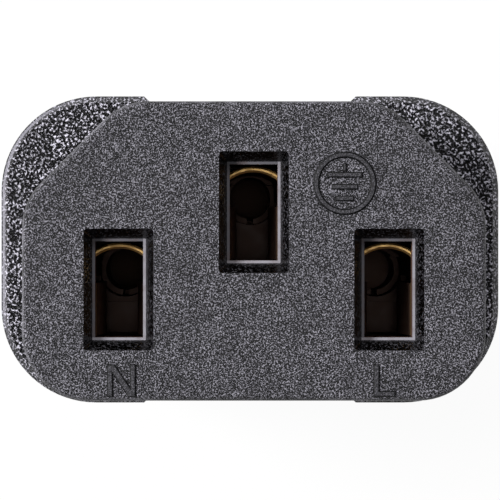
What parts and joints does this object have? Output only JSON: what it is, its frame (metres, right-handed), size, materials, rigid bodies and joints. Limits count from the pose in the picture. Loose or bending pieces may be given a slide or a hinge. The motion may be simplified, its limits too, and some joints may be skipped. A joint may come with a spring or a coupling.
{
  "type": "angled power cord connector",
  "caption": "Moulded appliance connector head with a keyed nose, bevelled blade slots over brass spring contacts, grip recesses, and a side entry for its cord.",
  "frame": {"origin": "middle of the flat back that the connector rests on", "axes": "+Z towards the mating face, +Y towards the earth contact, +X towards the cord entry"},
  "size_m": [0.0282, 0.0174, 0.036],
  "materials": {
    "outer_moulding": "spark-eroded matt, dark grey flexible plastic",
    "insert": "smooth satin, grey rigid plastic",
    "inner_moulding": "plain matt, black flexible plastic",
    "contact_brass": "bright stamped strip with rolled edges"
  },
  "bodies": {
    "root": {"outer_moulding": "outer_moulding", "contact_carrier": "insert", "carrier_cap": "insert", "inner_moulding": "inner_moulding", "line_contact": "contact_brass", "neutral_contact": "contact_brass", "earth_contact": "contact_brass"}
  },
  "joints": []
}
